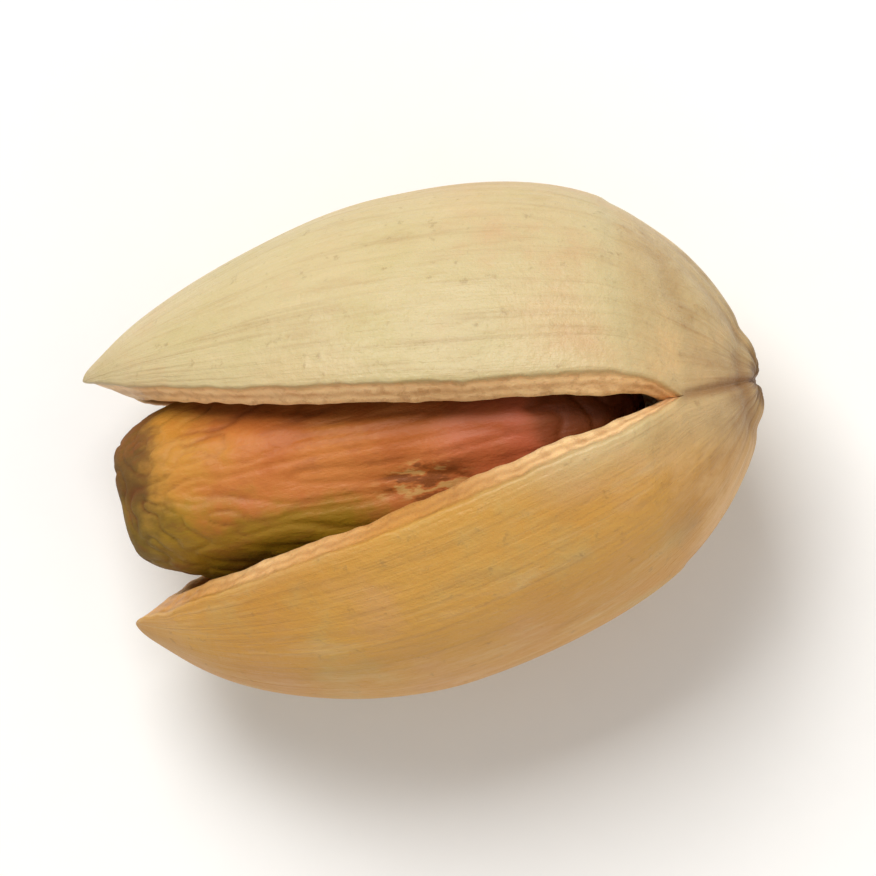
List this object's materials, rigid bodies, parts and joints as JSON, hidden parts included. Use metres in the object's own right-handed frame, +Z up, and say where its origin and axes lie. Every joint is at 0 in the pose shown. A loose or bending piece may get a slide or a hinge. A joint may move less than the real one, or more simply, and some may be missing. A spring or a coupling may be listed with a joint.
{
  "type": "pistachio in shell",
  "caption": "Pistachio lying in its hard shell, which has split along the seam and gapes at the tip, with the loose kernel showing in the mouth.",
  "frame": {"origin": "middle of the nut's box in X and Y, on the ground that it rests on", "axes": "+X along the nut from the gaping tip to the stem end, +Y to the deeper half, +Z up, on the side of the seam that shows the kernel"},
  "size_m": [0.0206, 0.015, 0.0126],
  "materials": {
    "husk": "dry matte husk, cream to ochre",
    "seed_skin": "papery wrinkled seed skin, orange brown with green at the tip"
  },
  "bodies": {
    "root": {"shell": "husk", "kernel": "seed_skin"}
  },
  "joints": []
}
